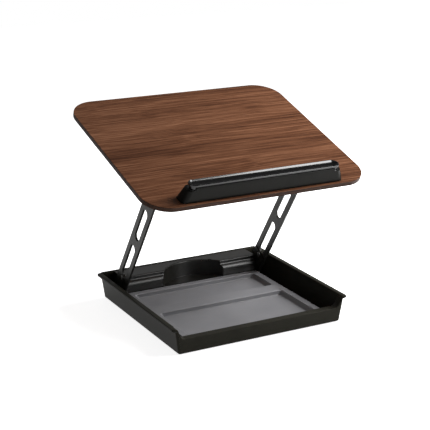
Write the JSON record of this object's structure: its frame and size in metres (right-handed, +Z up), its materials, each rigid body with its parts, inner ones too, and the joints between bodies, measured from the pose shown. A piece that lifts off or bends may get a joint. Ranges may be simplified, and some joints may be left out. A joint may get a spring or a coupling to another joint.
{
  "type": "book stand",
  "caption": "Desk book stand: tilting wooden board with a pen ledge, on folding slotted arms over a shallow storage tray with a lift-out liner.",
  "frame": {"origin": "on the desk, under the middle of the whole stand's box as it stands open", "axes": "+X to the reader's right along the board's long side, +Y from the reader to the back, +Z up"},
  "size_m": [0.38, 0.3167, 0.3271],
  "materials": {
    "tray_black": "satin black, fine moulded texture",
    "housing_black": "semi-gloss black",
    "liner_grey": "satin mid grey",
    "arm_black": "satin black powder coat",
    "steel": "plain bright steel",
    "dark_screw": "blackened steel",
    "nylon": "natural nylon",
    "rubber": "matt",
    "walnut": "satin lacquered walnut, grain from side to side",
    "ledge_black": "matt black",
    "channel_gloss": "polished black"
  },
  "bodies": {
    "base": {"base_tray": "tray_black", "rubber_feet": "rubber", "rear_housing": "housing_black", "housing_screws": "dark_screw", "bearing_screws": "dark_screw", "left_pivot_bearing": "steel", "right_pivot_bearing": "steel"},
    "liner": {"tray_liner": "liner_grey"},
    "arms": {"left_arm": "arm_black", "right_arm": "arm_black", "left_arm_lever": "arm_black", "right_arm_lever": "arm_black", "left_pivot_shaft": "steel", "right_pivot_shaft": "steel", "left_pivot_washer": "nylon", "right_pivot_washer": "nylon", "arm_pivot_screws": "dark_screw", "arm_rivets": "steel"},
    "tip_pins": {"left_tip_pin": "dark_screw", "right_tip_pin": "dark_screw", "tip_pin_nuts": "dark_screw", "left_tip_washer": "nylon", "right_tip_washer": "nylon"},
    "board": {"board_panel": "walnut", "left_board_bracket": "arm_black", "right_board_bracket": "arm_black", "bracket_screws": "dark_screw", "ledge_body": "ledge_black", "ledge_pen_channel": "channel_gloss", "ledge_screws": "dark_screw"}
  },
  "joints": [
    {"name": "liner_lift", "type": "slide", "parent": "base", "child": "liner", "axis": [0, 0, 1], "range_m": [0, 0.035]},
    {"name": "arm_fold", "type": "hinge", "parent": "base", "child": "arms", "pos_m": [0, 0.0934, 0.0275], "axis": [-1, 0, 0], "range_deg": [-51.6, 15]},
    {"name": "pin_level", "type": "hinge", "parent": "arms", "child": "tip_pins", "pos_m": [0, -0.04202, 0.23287], "axis": [-1, 0, 0], "range_deg": [-16, 52.6]},
    {"name": "board_tilt", "type": "hinge", "parent": "tip_pins", "child": "board", "pos_m": [0, -0.04202, 0.23287], "axis": [1, 0, 0], "range_deg": [-17, 43]}
  ],
  "couplings": [
    {"joint": "pin_level", "follows": "arm_fold", "ratio": -1}
  ]
}
